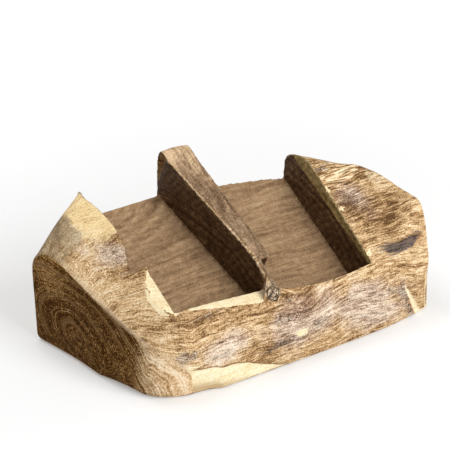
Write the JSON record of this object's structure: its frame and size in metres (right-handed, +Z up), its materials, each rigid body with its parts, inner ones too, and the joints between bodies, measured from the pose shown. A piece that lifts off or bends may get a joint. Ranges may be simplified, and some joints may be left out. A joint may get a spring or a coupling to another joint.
{
  "type": "wine bottle holder",
  "caption": "Carved chunk of root wood with side-by-side slanted troughs that hold reclining wine bottles, necks up and to the back.",
  "frame": {"origin": "centre of the overall box, on the table plane", "axes": "+X along the log, to the right seen from the front lip; +Y to the back, where the bottle necks point; +Z up"},
  "size_m": [0.416, 0.216, 0.1953],
  "materials": {
    "root_wood": "sanded and lightly oiled",
    "dead_knot": "dry and mottled",
    "felt": "matt felt"
  },
  "bodies": {
    "root": {"root_block": "root_wood", "knot_plug": "dead_knot", "felt_pad_front_left": "felt", "felt_pad_front_right": "felt", "felt_pad_rear_left": "felt", "felt_pad_rear_right": "felt"}
  },
  "joints": []
}
